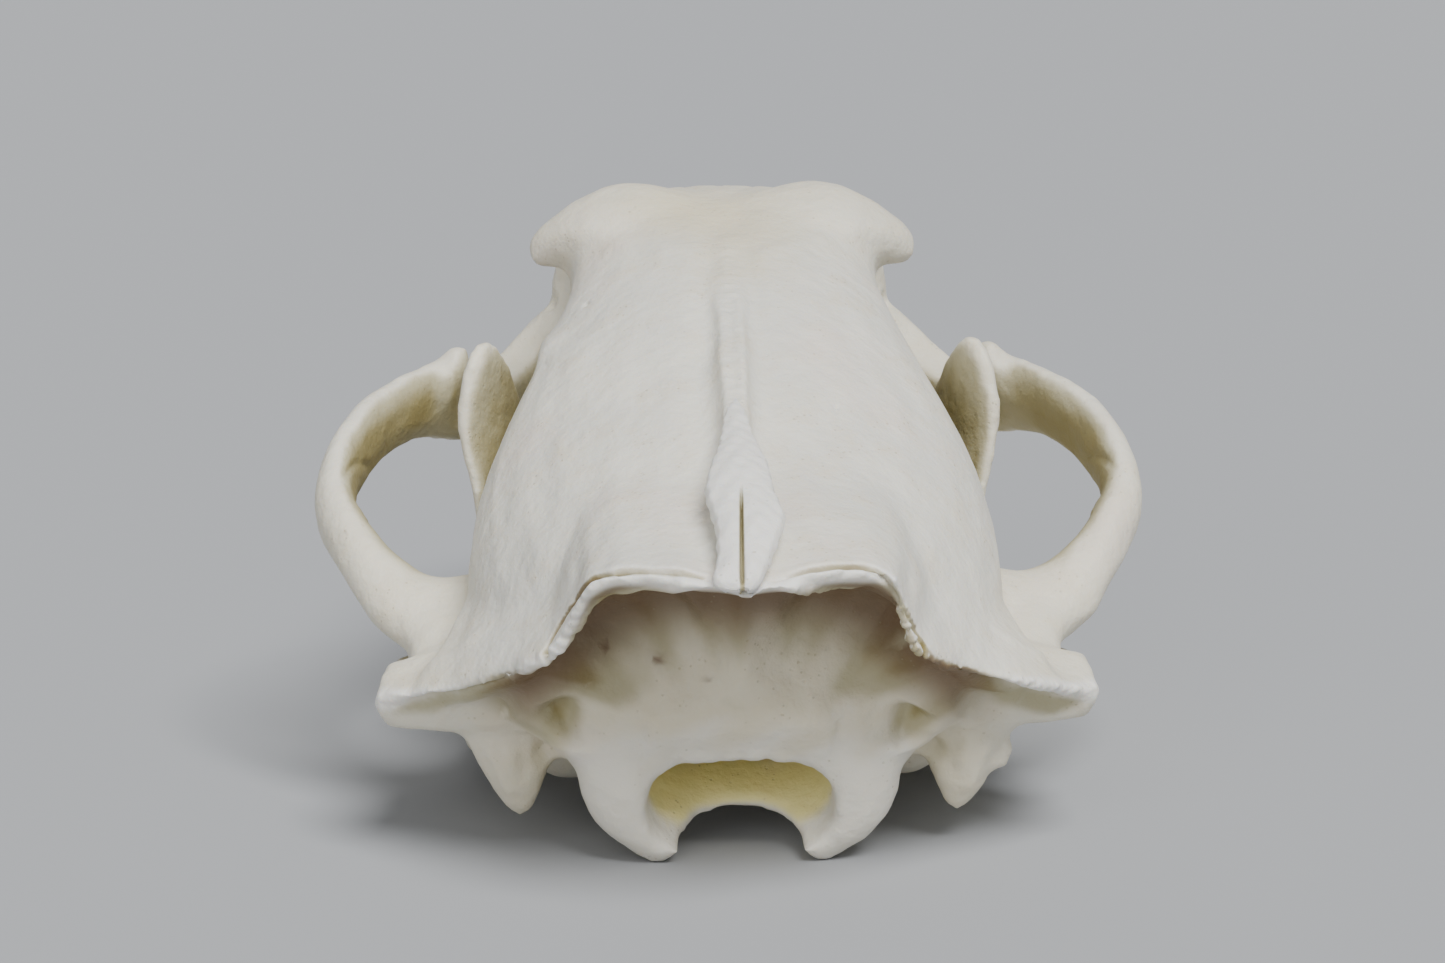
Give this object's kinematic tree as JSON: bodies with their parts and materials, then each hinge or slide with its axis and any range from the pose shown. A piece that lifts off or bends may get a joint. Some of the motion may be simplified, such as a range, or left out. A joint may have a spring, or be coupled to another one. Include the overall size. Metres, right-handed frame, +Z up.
{
  "type": "wolverine skull",
  "caption": "Life-size still wolverine skull, cranium with closed lower jaw, lying tipped back on its condyles and jaw.",
  "frame": {"origin": "on the floor under the middle of the skull's bounding box", "axes": "+Z up, the snout points along -Y and upwards, +X to the skull's left side"},
  "size_m": [0.1036, 0.167, 0.071],
  "materials": {
    "bone": "clean dry bone, off-white with a fine matt grain and olive-yellow hollows",
    "enamel": "smooth glossy tooth enamel, ivory white"
  },
  "bodies": {
    "root": {"braincase": "bone", "sagittal_crest": "bone", "occiput": "bone", "auditory_bulla_left": "bone", "auditory_bulla_right": "bone", "zygomatic_arch_left": "bone", "zygomatic_arch_right": "bone", "face_with_upper_teeth": "bone", "lower_jaw_with_teeth_left": "bone", "lower_jaw_with_teeth_right": "bone"}
  },
  "joints": []
}
